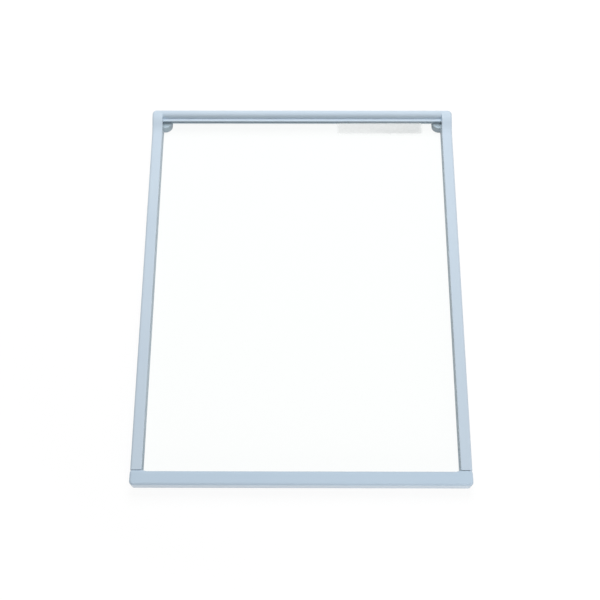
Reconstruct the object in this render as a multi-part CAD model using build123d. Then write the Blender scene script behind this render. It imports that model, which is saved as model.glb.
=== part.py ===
from build123d import *
import os

# Freezer shelf: a tempered glass pane in a U-shaped moulded frame, closed by a clip-on front trim.
# Sizes are in millimetres. +X is to the right, +Y to the back of the freezer and +Z up.
# The origin lies on the plane that the shelf rests on, under the middle of its outline.

# Whole shelf
SHELF_WIDTH = 350.0  # across the outer faces of the side rails
SHELF_DEPTH = 440.0  # from the nose of the front trim to the back of the rear rail

# Glass pane
GLASS_THICKNESS = 4.0
GLASS_CORNER_RADIUS = 4.0
GLASS_EDGE_BEVEL = 0.5  # seamed edge
GLASS_EDGE_GAP = 0.5  # from the edge of the glass to the end of its groove
GLASS_TOP_GAP = 0.2  # from the top of the glass to the lip over it

# Walls that the two mouldings share
WALL = 2.2  # outer walls
INNER_WALL = 1.8  # inner walls of the hollow rails
LIP_THICKNESS = 2.2  # plastic over the glass
LEDGE_THICKNESS = 2.0  # plastic under the glass
SKIRT_HEIGHT = 8.0  # hollow below the ledge
RIB_THICKNESS = 1.5
RIB_PITCH = 45.0
RIB_RECESS = 0.6  # ribs stop short of the underside

# Side rails
SIDE_LIP_WIDTH = 11.8  # from the outer face to the inner edge of the lip
LIP_EDGE_ROUND = 0.8
OUTER_ROUND = 2.5  # outer top edge of the rails and of the back-stop
REAR_CORNER_RADIUS = 5.0
RUN_OUT_LENGTH = 24.0  # over which the rails rise to the back-stop

# Rear rail and its back-stop
BACK_STOP_ROUND = 5.4  # rounded front of the back-stop
BACK_STOP_FOOT = 0.6  # upright face under the rounding
BACK_STOP_LAND = 0.3  # level strip on its top
STEP_WIDTH = 3.5  # level lip between the back-stop and the glass
REAR_LEDGE_SETBACK = 0.8  # the rear ledge stops short of the lip above it
CORE_MARGIN = 8.0  # ledge left whole beside each rib, between the cores of the back-stop

# Gussets in the rear corners
GUSSET_ACROSS = 10.0
GUSSET_ALONG = 6.4
GUSSET_BULGE = 2.4  # of its rounded side

# Front trim
TRIM_DEPTH = 15.6
TRIM_RISE = 1.2  # its top above the rails
TRIM_FOOT = 2.0  # its underside above that of the rails
TRIM_REAR_ROUND = 3.0
NOSE_ROUND = 2.8  # nose and ends
NOSE_CORNER_RADIUS = 3.8
TRIM_FLARE = 0.2  # the ends stand out past the rails
TRIM_FLARE_LENGTH = 7.0
TRIM_SETBACK = 1.1  # of its rear edge between the rails
TRIM_SWEEP_LENGTH = 6.0  # over which that edge comes back to the rails
JOINT_GAP = 0.2  # from the rails to the trim

# Tongues of the front trim, which catch inside the open ends of the rails
TONGUE_LENGTH = 24.0
TONGUE_HEIGHT = 3.4
TONGUE_GAP = 0.2
TONGUE_LEG = 2.2  # springing leg that carries the catch
TONGUE_SLOT = 1.6  # room for that leg to spring
TONGUE_ROOT = 5.0  # unslotted length next to the trim
CATCH_DEPTH = 1.2
CATCH_LENGTH = 7.0
CATCH_GAP = 0.3

# Heights
GLASS_BOTTOM = SKIRT_HEIGHT + LEDGE_THICKNESS
GLASS_TOP = GLASS_BOTTOM + GLASS_THICKNESS
GROOVE_TOP = GLASS_TOP + GLASS_TOP_GAP
RAIL_TOP = GROOVE_TOP + LIP_THICKNESS
BACK_STOP_TOP = RAIL_TOP + BACK_STOP_FOOT + BACK_STOP_ROUND
TRIM_TOP = RAIL_TOP + TRIM_RISE
TONGUE_TOP = SKIRT_HEIGHT - TONGUE_GAP
TONGUE_BOTTOM = TONGUE_TOP - TONGUE_HEIGHT

# Places across the shelf, from its middle
HALF_WIDTH = SHELF_WIDTH / 2
OPENING_HALF = HALF_WIDTH - SIDE_LIP_WIDTH
GROOVE_HALF = HALF_WIDTH - WALL
POCKET_INNER = OPENING_HALF + INNER_WALL
GUSSET_SIDE = OPENING_HALF - GUSSET_ACROSS
SWEEP_START = OPENING_HALF - TRIM_SWEEP_LENGTH

# Places from the nose to the back
BACK = SHELF_DEPTH / 2
NOSE = -BACK
JOINT = NOSE + TRIM_DEPTH
TRIM_REAR = JOINT - TRIM_SETBACK
FRAME_FRONT = JOINT + JOINT_GAP
CAVITY_NOSE = NOSE + WALL
CAVITY_BACK = BACK - WALL
RAMP_END = BACK - REAR_CORNER_RADIUS
RAMP_START = RAMP_END - RUN_OUT_LENGTH
BACK_STOP_CREST = BACK - OUTER_ROUND - BACK_STOP_LAND
BACK_STOP_FRONT = BACK_STOP_CREST - BACK_STOP_ROUND
OPENING_BACK = BACK_STOP_FRONT - STEP_WIDTH
REAR_LEDGE_FRONT = OPENING_BACK + REAR_LEDGE_SETBACK
GUSSET_FRONT = OPENING_BACK - GUSSET_ALONG
TONGUE_TIP = FRAME_FRONT + TONGUE_LENGTH
CATCH_FACE = TONGUE_TIP - CATCH_LENGTH
TONGUE_POCKET_END = TONGUE_TIP + CATCH_GAP


def block(low, high):
    """Box between two opposite corners."""
    size = [b - a for a, b in zip(low, high)]
    return Pos(*low) * Box(*size, align=(Align.MIN, Align.MIN, Align.MIN))


def both_sides(right):
    """A right-hand feature and its mirror image on the left."""
    return [right, mirror(right, about=Plane.YZ)]


def bays(start, end):
    """Starts and ends of the equal spaces that ribs leave along a run."""
    count = max(1, round((end - start) / RIB_PITCH))
    length = (end - start - (count - 1) * RIB_THICKNESS) / count
    starts = [start + i * (length + RIB_THICKNESS) for i in range(count)]
    return [(s, s + length) for s in starts]


def rail_blank():
    """Right-hand rail before it is hollowed: level, then swept up to the height of the back-stop."""
    middle = ((RAMP_START + RAMP_END) / 2, (RAIL_TOP + BACK_STOP_TOP) / 2)
    lower_sweep = TangentArc((RAMP_START, RAIL_TOP), middle, tangent=(1, 0))
    upper_sweep = TangentArc((RAMP_END, BACK_STOP_TOP), middle, tangent=(-1, 0))
    rest = Polyline(
        (RAMP_END, BACK_STOP_TOP),
        (BACK, BACK_STOP_TOP),
        (BACK, 0),
        (FRAME_FRONT, 0),
        (FRAME_FRONT, RAIL_TOP),
        (RAMP_START, RAIL_TOP),
    )
    side_view = make_face([lower_sweep, upper_sweep, rest])
    return Pos(X=OPENING_HALF) * extrude(Plane.YZ * side_view, SIDE_LIP_WIDTH)


def right_rail():
    """Right-hand rail with a softened inner edge where it borders the glass."""
    end_of_glass = Plane(origin=(0, OPENING_BACK, 0), z_dir=(0, 1, 0))
    blank = rail_blank()
    corner = split(blank, end_of_glass, Keep.TOP)
    run = split(blank, end_of_glass, Keep.BOTTOM)
    inner_face = run.faces().sort_by(Axis.X)[0]
    lip_edges = inner_face.edges().filter_by(lambda e: e.bounding_box().min.Z > GROOVE_TOP)
    return fillet(lip_edges, LIP_EDGE_ROUND) + corner


def rear_rail():
    """Rear rail between the side rails, drawn as its section: back-stop, lip, groove, ledge and wall."""
    rounding = TangentArc(
        (BACK_STOP_FRONT, BACK_STOP_TOP - BACK_STOP_ROUND), (BACK_STOP_CREST, BACK_STOP_TOP), tangent=(0, 1)
    )
    lip_edge = TangentArc(
        (OPENING_BACK, RAIL_TOP - LIP_EDGE_ROUND), (OPENING_BACK + LIP_EDGE_ROUND, RAIL_TOP), tangent=(0, 1)
    )
    step = Polyline(lip_edge @ 1, (BACK_STOP_FRONT, RAIL_TOP), rounding @ 0)
    rest = Polyline(
        rounding @ 1,
        (BACK, BACK_STOP_TOP),
        (BACK, 0),
        (CAVITY_BACK, 0),
        (CAVITY_BACK, SKIRT_HEIGHT),
        (REAR_LEDGE_FRONT, SKIRT_HEIGHT),
        (REAR_LEDGE_FRONT, GLASS_BOTTOM),
        (CAVITY_BACK, GLASS_BOTTOM),
        (CAVITY_BACK, GROOVE_TOP),
        (OPENING_BACK, GROOVE_TOP),
        lip_edge @ 0,
    )
    section = make_face([rounding, lip_edge, step, rest])
    return extrude(Plane.YZ * section, OPENING_HALF, both=True)


def is_outer_top_edge(edge):
    """True for the edges that run round the outside of the frame's top."""
    middle = edge @ 0.5
    near = REAR_CORNER_RADIUS / 2
    outside = abs(middle.X) > HALF_WIDTH - near or middle.Y > BACK - near
    return outside and edge.bounding_box().min.Z > GROOVE_TOP


def rail_hollows():
    """Glass groove, and the hollows on the underside of the right-hand rail between its ribs."""
    hollows = [
        block((OPENING_HALF, FRAME_FRONT, GLASS_BOTTOM), (GROOVE_HALF, CAVITY_BACK, GROOVE_TOP)),
        block((POCKET_INNER, FRAME_FRONT, 0), (GROOVE_HALF, CAVITY_BACK, RIB_RECESS)),
        block((POCKET_INNER, FRAME_FRONT, 0), (GROOVE_HALF, TONGUE_POCKET_END, SKIRT_HEIGHT)),
    ]
    for start, end in bays(TONGUE_POCKET_END + RIB_THICKNESS, CAVITY_BACK):
        hollows.append(block((POCKET_INNER, start, 0), (GROOVE_HALF, end, SKIRT_HEIGHT)))
    return hollows


def catch_window():
    """Window in the inner wall of the right-hand rail for the catch of the tongue."""
    return block(
        (OPENING_HALF, CATCH_FACE - CATCH_GAP, TONGUE_BOTTOM - TONGUE_GAP),
        (POCKET_INNER, TONGUE_POCKET_END, SKIRT_HEIGHT),
    )


def rear_ribs():
    """Three-cornered ribs that stiffen the rear ledge against the rear wall."""
    profile = Polyline(
        (CAVITY_BACK, RIB_RECESS),
        (CAVITY_BACK, SKIRT_HEIGHT),
        (REAR_LEDGE_FRONT, SKIRT_HEIGHT),
        close=True,
    )
    rib = extrude(Plane.YZ * make_face(profile), RIB_THICKNESS)
    return [Pos(X=end) * rib for start, end in bays(-GUSSET_SIDE, GUSSET_SIDE)[:-1]]


def back_stop_cores():
    """Hollows drawn out of the back-stop through slots in the rear ledge, one between each pair of ribs."""
    front = BACK_STOP_FRONT + WALL
    top = BACK_STOP_TOP - WALL
    return [
        block((start + CORE_MARGIN, front, SKIRT_HEIGHT), (end - CORE_MARGIN, CAVITY_BACK, top))
        for start, end in bays(-GUSSET_SIDE, GUSSET_SIDE)
    ]


def right_gusset():
    """Rounded pad with a skirt that ties the right-hand rail to the rear one under the glass."""
    rounded_side = SagittaArc((OPENING_HALF, GUSSET_FRONT), (GUSSET_SIDE, OPENING_BACK), GUSSET_BULGE)
    behind = CAVITY_BACK + INNER_WALL
    rest = Polyline(
        rounded_side @ 1,
        (GUSSET_SIDE, behind),
        (POCKET_INNER, behind),
        (POCKET_INNER, GUSSET_FRONT),
        rounded_side @ 0,
    )
    plan = make_face([rounded_side, rest])
    return extrude(plan, GLASS_BOTTOM) - extrude(offset(plan, -INNER_WALL), SKIRT_HEIGHT)


def u_frame():
    """Both side rails, the rear rail with its back-stop and the corner gussets, moulded as one."""
    frame = rear_rail() + both_sides(right_rail())
    rear_corners = frame.edges().filter_by(Axis.Z).group_by(Axis.Y)[-1]
    frame = fillet(rear_corners, REAR_CORNER_RADIUS)
    frame = fillet(frame.edges().filter_by(is_outer_top_edge), OUTER_ROUND)
    for hollow in [*rail_hollows(), catch_window()]:
        frame -= both_sides(hollow)
    frame += [*both_sides(right_gusset()), *rear_ribs()]
    return frame - back_stop_cores()


def trim_plan(inset):
    """Outline of the front trim seen from above, drawn in from its nose and its ends by the inset."""
    middle = ((SWEEP_START + OPENING_HALF) / 2, (TRIM_REAR + JOINT) / 2)
    inner_sweep = TangentArc((SWEEP_START, TRIM_REAR), middle, tangent=(1, 0))
    outer_sweep = TangentArc((OPENING_HALF, JOINT), middle, tangent=(-1, 0))
    end = HALF_WIDTH + TRIM_FLARE - inset
    rest = Polyline(
        (OPENING_HALF, JOINT),
        (HALF_WIDTH - inset, JOINT),
        (end, JOINT - TRIM_FLARE_LENGTH),
        (end, NOSE + inset),
        (0, NOSE + inset),
        (0, TRIM_REAR),
        (SWEEP_START, TRIM_REAR),
    )
    right_half = make_face([inner_sweep, outer_sweep, rest])
    nose_corner = right_half.vertices().group_by(Axis.Y)[0].sort_by(Axis.X)[-1]
    right_half = fillet(nose_corner, NOSE_CORNER_RADIUS - inset)
    return right_half + mirror(right_half, about=Plane.YZ)


def is_trim_rear_edge(edge):
    """True for the edges along the rear of the trim's top, and for those that its rounding leaves there."""
    return edge.bounding_box().min.Y > TRIM_REAR - TRIM_REAR_ROUND - JOINT_GAP


def trim_shell():
    """Front trim before it is hollowed, with its nose, its ends and its rear edge rounded."""
    shell = Pos(Z=TRIM_FOOT) * extrude(trim_plan(0), TRIM_TOP - TRIM_FOOT)
    rear_edges = shell.faces().sort_by(Axis.Z)[-1].edges().filter_by(is_trim_rear_edge)
    shell = fillet(rear_edges, TRIM_REAR_ROUND)
    other_edges = shell.faces().sort_by(Axis.Z)[-1].edges().filter_by(is_trim_rear_edge, reverse=True)
    return fillet(other_edges, NOSE_ROUND)


def trim_hollow():
    """Hollow under the front trim, with ribs across it."""
    cavity = Pos(Z=TRIM_FOOT) * extrude(trim_plan(WALL), SKIRT_HEIGHT - TRIM_FOOT)
    end = HALF_WIDTH + TRIM_FLARE
    cavity -= block((-end, TRIM_REAR - INNER_WALL, TRIM_FOOT), (end, JOINT, SKIRT_HEIGHT))
    ribs = [
        block((rib, NOSE, TRIM_FOOT + RIB_RECESS), (rib + RIB_THICKNESS, JOINT, SKIRT_HEIGHT))
        for start, rib in bays(-GROOVE_HALF, GROOVE_HALF)[:-1]
    ]
    return cavity - ribs


def right_tongue():
    """Split tongue that plugs into the right-hand rail, with a catch on its springing leg."""
    inner = POCKET_INNER + TONGUE_GAP
    outer = GROOVE_HALF - TONGUE_GAP
    catch_point = POCKET_INNER - CATCH_DEPTH
    plan = make_face(
        Polyline(
            (inner, JOINT - INNER_WALL),
            (outer, JOINT - INNER_WALL),
            (outer, TONGUE_TIP),
            (inner, TONGUE_TIP),
            (catch_point, CATCH_FACE),
            (inner, CATCH_FACE),
            close=True,
        )
    )
    tongue = Pos(Z=TONGUE_BOTTOM) * extrude(plan, TONGUE_HEIGHT)
    slot_start = inner + TONGUE_LEG
    return tongue - block(
        (slot_start, JOINT + TONGUE_ROOT, TONGUE_BOTTOM), (slot_start + TONGUE_SLOT, TONGUE_TIP, TONGUE_TOP)
    )


def front_trim():
    """Bar across the front: takes the front edge of the glass and closes the open ends of the rails."""
    groove = Pos(Z=GLASS_BOTTOM) * extrude(trim_plan(WALL), GROOVE_TOP - GLASS_BOTTOM)
    return trim_shell() - groove - trim_hollow() + both_sides(right_tongue())


def glass_pane():
    """Tempered pane with rounded corners and seamed edges, standing on the ledges."""
    half = GROOVE_HALF - GLASS_EDGE_GAP
    front = CAVITY_NOSE + GLASS_EDGE_GAP
    back = CAVITY_BACK - GLASS_EDGE_GAP
    pane = block((-half, front, GLASS_BOTTOM), (half, back, GLASS_TOP))
    pane = fillet(pane.edges().filter_by(Axis.Z), GLASS_CORNER_RADIUS)
    rims = pane.faces().sort_by(Axis.Z)[0].edges() + pane.faces().sort_by(Axis.Z)[-1].edges()
    return chamfer(rims, GLASS_EDGE_BEVEL)


os.makedirs("parts", exist_ok=True)
export_step(glass_pane(), "parts/glass_pane.step")
export_step(u_frame(), "parts/u_frame.step")
export_step(front_trim(), "parts/front_trim.step")
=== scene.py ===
import math

import bpy
from mathutils import Matrix, Vector


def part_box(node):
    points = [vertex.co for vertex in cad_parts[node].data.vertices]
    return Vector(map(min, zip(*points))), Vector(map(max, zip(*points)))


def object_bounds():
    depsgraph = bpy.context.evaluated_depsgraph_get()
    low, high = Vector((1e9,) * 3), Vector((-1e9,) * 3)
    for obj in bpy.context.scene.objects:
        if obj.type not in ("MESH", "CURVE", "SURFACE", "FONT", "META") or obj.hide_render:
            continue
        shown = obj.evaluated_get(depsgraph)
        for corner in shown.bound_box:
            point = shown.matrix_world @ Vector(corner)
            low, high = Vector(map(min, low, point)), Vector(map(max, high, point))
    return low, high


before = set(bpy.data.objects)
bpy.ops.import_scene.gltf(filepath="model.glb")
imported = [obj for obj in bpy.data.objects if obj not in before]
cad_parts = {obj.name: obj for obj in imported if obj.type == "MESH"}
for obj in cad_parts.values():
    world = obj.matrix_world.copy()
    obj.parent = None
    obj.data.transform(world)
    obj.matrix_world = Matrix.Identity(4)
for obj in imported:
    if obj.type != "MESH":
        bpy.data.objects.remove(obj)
cad_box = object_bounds()

MM = 0.001  # the frame is in metres, and sizes on the shelf are written in millimetres
WHITE = (1.0, 1.0, 1.0, 1.0)

# Camera, for a picture of 600 x 600 pixels
IMAGE_SIDE = 600
FOCAL_LENGTH_PIXELS = 1020
EYE = Vector((3.2, -431.4, 1046.8)) * MM
LOOK_DOWN = math.radians(68.11)
HEADING = math.radians(0.682)  # to the left of straight back
ROLL = math.radians(-0.545)

# Places on the shelf where a finish changes
FACE_MARGIN = 0.1 * MM  # how far a finish that ends at a face reaches past it
GLASS_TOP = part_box("glass_pane")[1].z
RAIL_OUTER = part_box("u_frame")[1].x
LIP_WIDTH = 11.8 * MM  # of the side rails
LIP_EDGE = RAIL_OUTER - LIP_WIDTH
FRONT_EDGE = -206 * MM  # just inside the rear edge of the front trim
REAR_SKIN = 1 * MM  # depth of the rear wall that counts as its outer face

# Plastic of the frame and of the front trim
ICE_BLUE = (0.570, 0.685, 0.800, 1.0)
ICE_BLUE_PALE = (0.630, 0.735, 0.835, 1.0)
TRIM_BLUE = (0.530, 0.664, 0.800, 1.0)  # the trim is coloured a slightly deeper shade than the frame
TRIM_BLUE_PALE = (0.586, 0.713, 0.835, 1.0)
PLASTIC_IOR = 1.49
PLASTIC_ROUGHNESS = 0.24
FLOW_ROUGHNESS = 0.06  # how much it differs from one flow streak to another
FLOW_MEAN = 0.5
INNER_ROUGHNESS = 1.0  # of the faces below the glass
PLASTIC_SHEEN = 0.3  # pale bloom that the texture leaves on steep faces
SHEEN_ROUGHNESS = 0.4
GRAIN_SIZE = 0.6 * MM  # eroded texture of the mould
GRAIN_DEPTH = 0.010 * MM
CLOUD_SIZE = 70 * MM  # slow changes of shade
CLOUD_DETAIL = 3.0
CLOUD_SHARE = 0.7  # of the changes of shade, while the flow streaks give the rest
FLOW_WIDTH = 9 * MM  # streaks along which the plastic flowed
FLOW_LENGTH = 160 * MM
FIRST_RIB = -179.15 * MM  # ribs inside the side rails, which leave sink marks outside
RIB_PITCH = 44.19 * MM
SINK_WIDTH = 3.5 * MM
SINK_DEPTH = 0.03 * MM

# Glass
GLASS_IOR = 1.52
GLASS_TINT = (0.10, 0.80, 0.55, 1.0)
GLASS_TINT_DENSITY = 4.0  # for each metre of glass
GLASS_SHADE = (0.955, 0.965, 0.960, 1.0)  # what each face of the pane lets through to the floor
SMEAR_SIZE = 45 * MM
SMEAR_DETAIL = 4.0
SMEAR_NOISE = (0.45, 0.9)  # from clean glass to the middle of a smear
SMEAR_ROUGHNESS = 0.05
ROLLER_PITCH = 105 * MM  # waves that tempering leaves across the pane
ROLLER_DEPTH = 0.006 * MM
BAND_ACROSS = (42 * MM, 139 * MM)  # frosted band in front of the back-stop
BAND_ALONG = (193.5 * MM, 207.5 * MM)
BAND_EDGE = 3 * MM
BAND_COLOUR = (0.66, 0.68, 0.68, 1.0)
BAND_ROUGHNESS = 0.6
BAND_COVER = (0.45, 0.75)  # at its two ends
MOTTLE_SIZE = 8 * MM
MOTTLE_NOISE = (0.2, 0.8)  # from the thinnest frost to the densest
MOTTLE_SPREAD = 0.4  # how much the mottle changes the cover

# Floor, surroundings and lamps, with their sizes in metres
FLOOR_SIDE = 12.0
FLOOR_DROP = 0.2 * MM
FLOOR_BOUNCE = 0.85
SHADED_BOUNCE_BELOW = 0.45  # painted shade: the floor below the pane sends back less light than elsewhere, which darkens the walls under the glass
SHADOW_SHARE = 0.08  # how much of the floor's white comes from the lamps beside the shelf
SHADOW_MARGIN = 1.25  # that share is lit to more than white, so that only deeper shadow shows
SHADOW_REACH = (0.30, 0.55)  # distances over which that share ends
AMBIENT = 0.28
TOP_SOFTBOX = {"place": Vector((0.05, 0.70, 1.14)), "side": 0.8, "level": 0.74}
FRONT_SOFTBOX = {"place": Vector((0.40, -0.95, 0.36)), "side": 0.5, "level": 0.26}


class Wire:
    """Output of a shader node. Each operator between wires and numbers adds one Math node."""

    def __init__(self, shading, socket):
        self.shading = shading
        self.socket = socket

    def maths(self, operation, *values):
        return self.shading.node("ShaderNodeMath", {"operation": operation}, dict(enumerate(values)))

    def __add__(self, other):
        return self.maths("ADD", self, other)

    def __sub__(self, other):
        return self.maths("SUBTRACT", self, other)

    def __rsub__(self, other):
        return self.maths("SUBTRACT", other, self)

    def __mul__(self, other):
        return self.maths("MULTIPLY", self, other)

    def __mod__(self, other):
        return self.maths("FLOORED_MODULO", self, other)

    def __abs__(self):
        return self.maths("ABSOLUTE", self)

    def __gt__(self, other):
        return self.maths("GREATER_THAN", self, other)

    def __lt__(self, other):
        return self.maths("LESS_THAN", self, other)

    def __or__(self, other):
        return self.maths("MAXIMUM", self, other)

    __radd__ = __add__
    __rmul__ = __mul__

    def sine(self):
        return self.maths("SINE", self)

    def ramp(self, start, end):
        """0 at start and 1 at end, with a smooth rise between them."""
        settings = {"interpolation_type": "SMOOTHSTEP"}
        return self.shading.node("ShaderNodeMapRange", settings, {0: self, 1: start, 2: end})

    def within(self, limits, edge):
        """1 between the two limits and 0 outside them, with soft edges."""
        low, high = limits
        return self.ramp(low - edge, low + edge) * (1 - self.ramp(high - edge, high + edge))


class Shading:
    """Node tree of a finish or of the world."""

    def __init__(self, tree):
        self.tree = tree
        tree.nodes.clear()

    def node(self, kind, settings=None, inputs=None, output=0):
        """Add a node of this type, with its settings and then the values or links of its sockets."""
        made = self.tree.nodes.new(kind)
        for name, value in (settings or {}).items():
            setattr(made, name, value)
        for name, value in (inputs or {}).items():
            if isinstance(value, Wire):
                self.tree.links.new(value.socket, made.inputs[name])
            else:
                made.inputs[name].default_value = value
        return Wire(self, made.outputs[output]) if made.outputs else made

    def place(self):
        """Place in the shelf's frame, in metres."""
        return self.node("ShaderNodeTexCoord", output="Object")

    def axes(self, vector):
        """The three numbers of a vector."""
        parts = self.node("ShaderNodeSeparateXYZ", inputs={0: vector}).socket.node
        return [Wire(self, socket) for socket in parts.outputs]

    def length(self, vector):
        return self.node("ShaderNodeVectorMath", {"operation": "LENGTH"}, {0: vector}, output="Value")

    def noise(self, vector, size, detail=2.0):
        """Even noise from 0 to 1 with features of about this size."""
        inputs = {"Vector": vector, "Scale": 1 / size, "Detail": detail}
        return self.node("ShaderNodeTexNoise", inputs=inputs)

    def streaks(self, vector, axis):
        """Noise drawn out along one axis."""
        factors = [1.0, 1.0, 1.0]
        factors[axis] = FLOW_WIDTH / FLOW_LENGTH
        drawn = self.node("ShaderNodeVectorMath", {"operation": "MULTIPLY"}, {0: vector, 1: factors})
        return self.noise(drawn, FLOW_WIDTH)

    def between(self, factor, first, second):
        """Colour between two colours."""
        return self.node("ShaderNodeMix", {"data_type": "RGBA"}, {0: factor, 6: first, 7: second}, output=2)

    def bump(self, height):
        """Normal of a surface raised by this height in metres."""
        return self.node("ShaderNodeBump", inputs={"Distance": 1.0, "Height": height})

    def path(self, *names):
        """1 for rays of one of these kinds."""
        light_path = self.node("ShaderNodeLightPath").socket.node
        kinds = Wire(self, light_path.outputs[names[0]])
        for name in names[1:]:
            kinds = kinds | Wire(self, light_path.outputs[name])
        return kinds

    def seen(self):
        """1 for rays that end in the picture: straight, by a reflection or through the glass."""
        return self.path("Is Camera Ray", "Is Glossy Ray", "Is Transmission Ray")

    def mix_shader(self, factor, first, second):
        return self.node("ShaderNodeMixShader", inputs={0: factor, 1: first, 2: second})

    def principled(self, inputs):
        return self.node("ShaderNodeBsdfPrincipled", inputs=inputs)

    def diffuse(self, level):
        return self.node("ShaderNodeBsdfDiffuse", inputs={"Color": (level, level, level, 1.0)})


def new_finish(name):
    """A new material and its empty node tree."""
    material = bpy.data.materials.new(name)
    material.use_nodes = True
    return material, Shading(material.node_tree)


def moulded_plastic(name, blue, pale_blue):
    """Glossy ice-blue plastic: mould grain, faint flow streaks and sink marks, dull below the glass."""
    material, nodes = new_finish(name)
    place = nodes.place()
    x, y, z = nodes.axes(place)
    beside = abs(x) > LIP_EDGE
    flow = beside * nodes.streaks(place, 1) + (1 - beside) * nodes.streaks(place, 0)
    tone = nodes.noise(place, CLOUD_SIZE, CLOUD_DETAIL) * CLOUD_SHARE + flow * (1 - CLOUD_SHARE)
    below = (abs(x) < LIP_EDGE + FACE_MARGIN) * (z < GLASS_TOP)
    inner = below * (y > FRONT_EDGE) * (y < cad_box[1].y - REAR_SKIN)
    off_rib = abs((y - FIRST_RIB + RIB_PITCH / 2) % RIB_PITCH - RIB_PITCH / 2)
    sink = (1 - off_rib.ramp(0.0, SINK_WIDTH)) * (abs(x) > RAIL_OUTER - FACE_MARGIN)
    height = nodes.noise(place, GRAIN_SIZE) * GRAIN_DEPTH - sink * SINK_DEPTH
    roughness = PLASTIC_ROUGHNESS + (flow - FLOW_MEAN) * FLOW_ROUGHNESS
    plastic = nodes.principled({
        "Base Color": nodes.between(tone, blue, pale_blue),
        "Roughness": roughness + inner * (INNER_ROUGHNESS - PLASTIC_ROUGHNESS),
        "IOR": PLASTIC_IOR,
        "Sheen Weight": PLASTIC_SHEEN,
        "Sheen Roughness": SHEEN_ROUGHNESS,
        "Normal": nodes.bump(height),
    })
    nodes.node("ShaderNodeOutputMaterial", inputs={"Surface": plastic})
    return material


def clear_glass():
    """Clear tempered glass: faint green inside, roller waves, slight smears and a frosted band."""
    material, nodes = new_finish("clear_glass")
    place = nodes.place()
    x, y, z = nodes.axes(place)
    smears = nodes.noise(place, SMEAR_SIZE, SMEAR_DETAIL).ramp(*SMEAR_NOISE)
    waves = (y * (2 * math.pi / ROLLER_PITCH)).sine() * ROLLER_DEPTH
    glass = nodes.principled({
        "Base Color": WHITE,
        "Roughness": smears * SMEAR_ROUGHNESS,
        "IOR": GLASS_IOR,
        "Transmission Weight": 1.0,
        "Normal": nodes.bump(waves),
    })
    frost = nodes.principled({"Base Color": BAND_COLOUR, "Roughness": BAND_ROUGHNESS})
    top_face = z > GLASS_TOP - FACE_MARGIN
    band = x.within(BAND_ACROSS, BAND_EDGE) * y.within(BAND_ALONG, BAND_EDGE / 2) * top_face
    thin, dense = BAND_COVER
    cover = x.ramp(*BAND_ACROSS) * (dense - thin) + thin
    mottle = nodes.noise(place, MOTTLE_SIZE).ramp(*MOTTLE_NOISE) * MOTTLE_SPREAD + (1 - MOTTLE_SPREAD / 2)
    surface = nodes.mix_shader(band * mottle * cover, glass, frost)
    lamp_light = nodes.node("ShaderNodeBsdfTransparent", inputs={"Color": GLASS_SHADE})
    for kind in ("Is Diffuse Ray", "Is Shadow Ray"):
        surface = nodes.mix_shader(nodes.path(kind), surface, lamp_light)
    tint = {"Color": GLASS_TINT, "Density": GLASS_TINT_DENSITY}
    inside = nodes.node("ShaderNodeVolumeAbsorption", inputs=tint)
    nodes.node("ShaderNodeOutputMaterial", inputs={"Surface": surface, "Volume": inside})
    return material


def white_sweep():
    """White floor: shown as white, with the shadow that the lamps leave beside the shelf."""
    material, nodes = new_finish("white_sweep")
    place = nodes.place()
    near = 1 - nodes.length(place).ramp(*SHADOW_REACH)
    glow = nodes.node("ShaderNodeEmission", inputs={"Color": 1 - near * SHADOW_SHARE})
    lit = nodes.diffuse(SHADOW_SHARE * SHADOW_MARGIN)
    shown = nodes.node("ShaderNodeAddShader", inputs={0: glow, 1: lit})
    x, y, _ = nodes.axes(place)
    below = (abs(x) < cad_box[1].x - LIP_WIDTH) * (abs(y) < cad_box[1].y - LIP_WIDTH)
    # painted shade: below the shelf the floor is darker for light that bounces onto the shelf, standing in
    # for shade there
    bounce = nodes.mix_shader(below, nodes.diffuse(FLOOR_BOUNCE), nodes.diffuse(SHADED_BOUNCE_BELOW))
    surface = nodes.mix_shader(nodes.seen(), bounce, shown)
    nodes.node("ShaderNodeOutputMaterial", inputs={"Surface": surface})
    return material


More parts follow.
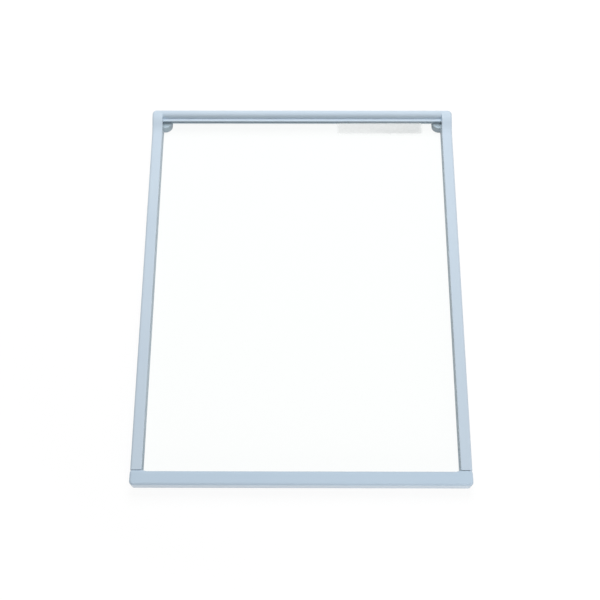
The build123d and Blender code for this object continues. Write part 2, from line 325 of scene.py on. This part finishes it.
def floor():
    """Wide plane that the shelf lies on."""
    half = FLOOR_SIDE / 2
    level = cad_box[0].z - FLOOR_DROP
    corners = [(-half, -half, level), (half, -half, level), (half, half, level), (-half, half, level)]
    mesh = bpy.data.meshes.new("floor")
    mesh.from_pydata(corners, [], [(0, 1, 2, 3)])
    mesh.materials.append(white_sweep())
    plane = bpy.data.objects.new("floor", mesh)
    bpy.context.scene.collection.objects.link(plane)


def softbox(name, place, side, level):
    """Square lamp aimed at the shelf; level is how bright it shows a white sheet there that faces it."""
    lamp = bpy.data.lights.new(name, "AREA")
    lamp.size = side
    lamp.energy = level * math.pi**2 * place.length_squared
    fitting = bpy.data.objects.new(name, lamp)
    fitting.location = place
    fitting.rotation_euler = place.to_track_quat("Z", "Y").to_euler()
    fitting.visible_glossy = False
    fitting.visible_transmission = False
    bpy.context.scene.collection.objects.link(fitting)


def studio():
    """White surroundings that give a little light, a softbox above the shelf and a weaker one in front."""
    world = bpy.data.worlds.new("studio")
    world.use_nodes = True
    nodes = Shading(world.node_tree)
    strength = AMBIENT + nodes.seen() * (1 - AMBIENT)
    air = nodes.node("ShaderNodeBackground", inputs={"Color": WHITE, "Strength": strength})
    nodes.node("ShaderNodeOutputWorld", inputs={"Surface": air})
    bpy.context.scene.world = world
    softbox("top_softbox", **TOP_SOFTBOX)
    softbox("front_softbox", **FRONT_SOFTBOX)


def photo_camera():
    """Camera at the place from which the shelf was photographed."""
    lens = bpy.data.cameras.new("photo_camera")
    lens.lens = lens.sensor_width * FOCAL_LENGTH_PIXELS / IMAGE_SIDE
    camera = bpy.data.objects.new("photo_camera", lens)
    heading = Matrix.Rotation(HEADING, 4, "Z")
    tilt = Matrix.Rotation(math.pi / 2 - LOOK_DOWN, 4, "X")
    roll = Matrix.Rotation(ROLL, 4, "Z")
    camera.matrix_world = Matrix.Translation(EYE) @ heading @ tilt @ roll
    bpy.context.scene.collection.objects.link(camera)
    bpy.context.scene.camera = camera


finishes = {
    "u_frame": moulded_plastic("frame_plastic", ICE_BLUE, ICE_BLUE_PALE),
    "front_trim": moulded_plastic("trim_plastic", TRIM_BLUE, TRIM_BLUE_PALE),
    "glass_pane": clear_glass(),
}
for node, material in finishes.items():
    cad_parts[node].material_slots[0].material = material
floor()
studio()
photo_camera()
bpy.context.scene.view_settings.view_transform = "Standard"
